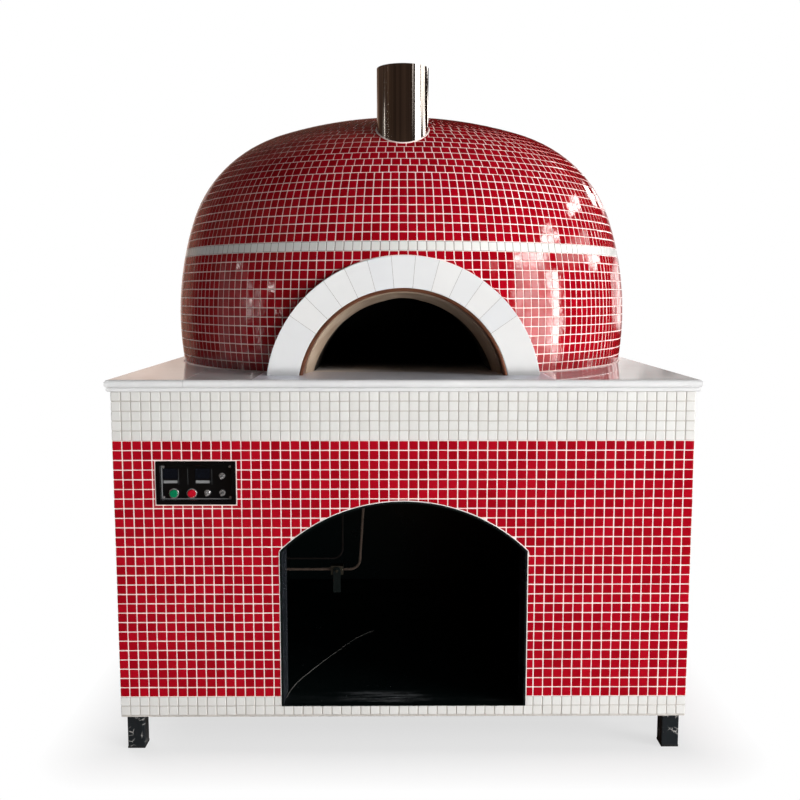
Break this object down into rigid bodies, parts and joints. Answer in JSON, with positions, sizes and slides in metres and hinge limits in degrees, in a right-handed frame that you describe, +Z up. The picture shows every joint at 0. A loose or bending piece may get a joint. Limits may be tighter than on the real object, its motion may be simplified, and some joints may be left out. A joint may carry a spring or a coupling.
{
  "type": "pizza oven",
  "caption": "Dome pizza oven tiled in red mosaic on a tiled stand with an arched store, stone counter, stone mouth arch, front flue, gas line and control panel.",
  "frame": {"origin": "on the floor under the middle of the counter", "axes": "+X to the right seen from the mouth, +Y from the mouth to the back, +Z up"},
  "size_m": [1.5, 1.6, 1.808],
  "materials": {
    "black_steel": "black painted steel, scuffed",
    "rubber": "matt",
    "board": "fibre-cement board",
    "white_mosaic": "gloss mosaic in pale grout",
    "red_mosaic": "gloss mosaic in pale grout",
    "counter_stone": "polished pale stone",
    "landing_steel": "brushed",
    "insulation": "vermiculite and calcium silicate",
    "firebrick": "refractory",
    "throat_cast": "refractory casting",
    "render": "cement render",
    "grout": "grout",
    "arch_stone": "honed pale stone",
    "copper": "dull copper",
    "stainless": "brushed, heat stained",
    "cast_iron": "cast",
    "brass": "machined",
    "valve_paint": "dark paint",
    "black_plastic": "black",
    "display_window": "dark window",
    "green_plastic": "gloss",
    "red_plastic": "gloss",
    "chrome": "bright"
  },
  "bodies": {
    "oven": {"frame_legs": "black_steel", "frame_upper_rails": "black_steel", "frame_lower_rails": "black_steel", "frame_bearers": "black_steel", "opening_liner": "black_steel", "store_floor": "black_steel", "store_walls": "black_steel", "deck_plate": "black_steel", "foot_pads": "rubber", "front_board": "board", "back_board": "board", "side_boards": "board", "mosaic_upper_white": "white_mosaic", "mosaic_lower_white": "white_mosaic", "dome_mosaic_band": "white_mosaic", "opening_edging": "white_mosaic", "mosaic_red_front": "red_mosaic", "mosaic_red_back": "red_mosaic", "mosaic_red_sides": "red_mosaic", "dome_mosaic_lower": "red_mosaic", "dome_mosaic_upper": "red_mosaic", "counter_main_slab": "counter_stone", "counter_left_slab": "counter_stone", "counter_underlay": "counter_stone", "landing_plate": "landing_steel", "hearth_slab": "insulation", "dome_insulation": "insulation", "hearth_tiles": "firebrick", "chamber_vault": "firebrick", "mouth_throat": "throat_cast", "dome_render": "render", "dome_foot_fillet": "grout", "arch_stones": "arch_stone", "arch_ring": "copper", "gas_supply_rear": "copper", "gas_supply_front": "copper", "gas_riser": "copper", "pilot_tube": "copper", "flue_pipe": "stainless", "hearth_thermocouple": "stainless", "burner": "cast_iron", "pilot_burner": "cast_iron", "gas_inlet": "brass", "gas_valve_body": "brass", "gas_control_valve": "valve_paint", "cable_gland": "black_plastic", "panel_housing": "black_plastic", "panel_frame": "black_plastic", "panel_face": "black_plastic", "displays": "display_window", "button_bodies": "chrome", "toggle_bodies": "chrome", "panel_screws": "chrome"},
    "button_green": {"button_green": "green_plastic"},
    "button_red": {"button_red": "red_plastic"},
    "toggle_lever_left": {"toggle_lever_left": "chrome"},
    "toggle_lever_right": {"toggle_lever_right": "chrome"},
    "toggle_lever_upper": {"toggle_lever_upper": "chrome"},
    "gas_valve_lever": {"gas_valve_lever": "valve_paint"}
  },
  "joints": [
    {"name": "green_button_press", "type": "slide", "parent": "oven", "child": "button_green", "axis": [0, 1, 0], "range_m": [0, 0.003], "stiffness_N_per_m": 300},
    {"name": "red_button_press", "type": "slide", "parent": "oven", "child": "button_red", "axis": [0, 1, 0], "range_m": [0, 0.003], "stiffness_N_per_m": 300},
    {"name": "left_toggle_flip", "type": "hinge", "parent": "oven", "child": "toggle_lever_left", "pos_m": [-0.5015, -0.7725, 0.6835], "axis": [-1, 0, 0], "range_deg": [0, 24]},
    {"name": "right_toggle_flip", "type": "hinge", "parent": "oven", "child": "toggle_lever_right", "pos_m": [-0.4635, -0.7725, 0.6835], "axis": [-1, 0, 0], "range_deg": [0, 24]},
    {"name": "upper_toggle_flip", "type": "hinge", "parent": "oven", "child": "toggle_lever_upper", "pos_m": [-0.4635, -0.7725, 0.7275], "axis": [-1, 0, 0], "range_deg": [0, 24]},
    {"name": "gas_lever_turn", "type": "hinge", "parent": "oven", "child": "gas_valve_lever", "pos_m": [-0.192, -0.457, 0.384], "axis": [0, 1, 0], "range_deg": [0, 90]}
  ]
}
